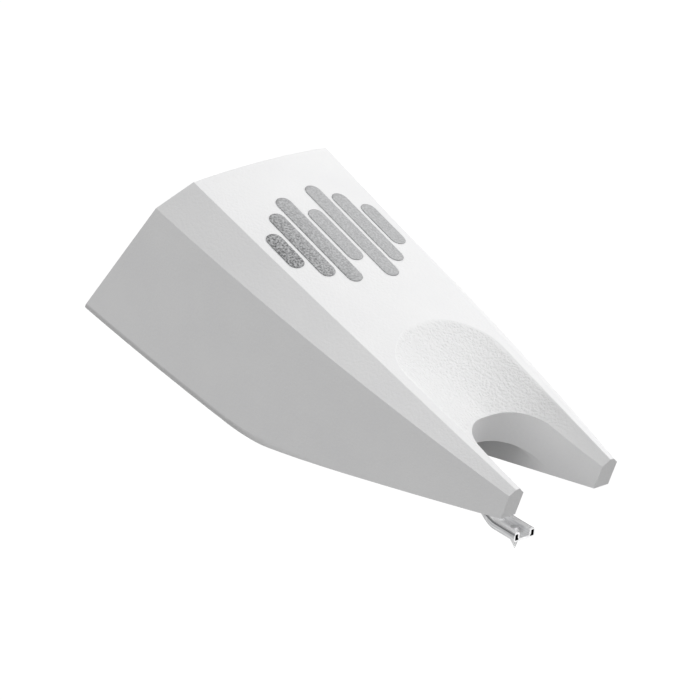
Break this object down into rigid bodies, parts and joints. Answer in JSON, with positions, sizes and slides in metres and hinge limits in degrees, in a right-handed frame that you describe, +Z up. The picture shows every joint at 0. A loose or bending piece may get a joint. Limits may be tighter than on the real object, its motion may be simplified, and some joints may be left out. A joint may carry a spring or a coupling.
{
  "type": "turntable stylus unit",
  "caption": "Plug-in stylus unit of a turntable cartridge: white moulded housing with a thumb scoop and forked nose, plug tube, sprung cantilever and diamond tip.",
  "frame": {"origin": "on the plug tube's axis, at the shoulder that the plug starts from", "axes": "+Z up, square to the record in use, +Y to the rear (towards the cartridge), +X to the right seen from behind"},
  "size_m": [0.0116, 0.0295, 0.0153],
  "materials": {
    "housing_plastic": "fine matte moulding",
    "plug_metal": "nickel plated",
    "damper_rubber": "soft matte",
    "anchor_metal": "turned",
    "wire_steel": "drawn",
    "magnet_metal": "ground",
    "cantilever_aluminium": "drawn and pressed",
    "shank_metal": "ground",
    "diamond": "ground and polished"
  },
  "bodies": {
    "housing_assembly": {"housing": "housing_plastic", "plug_tube": "plug_metal", "wire_anchor": "anchor_metal", "tie_wire": "wire_steel"},
    "damper_ring": {"damper": "damper_rubber"},
    "cantilever_assembly": {"cantilever": "cantilever_aluminium", "magnet": "magnet_metal", "tip_shank": "shank_metal", "diamond_tip": "diamond"}
  },
  "joints": [
    {"name": "lateral_swing", "type": "hinge", "parent": "housing_assembly", "child": "damper_ring", "pos_m": [0, -0.00355, -0.00166], "axis": [0, -0.4226, 0.9063], "range_deg": [-3, 3], "stiffness_Nm_per_rad": 0.0062, "deforming": ["damper"]},
    {"name": "vertical_swing", "type": "hinge", "parent": "damper_ring", "child": "cantilever_assembly", "pos_m": [0, -0.00355, -0.00166], "axis": [-1, 0, 0], "range_deg": [-2, 5], "stiffness_Nm_per_rad": 0.0062, "deforming": ["damper"]}
  ]
}
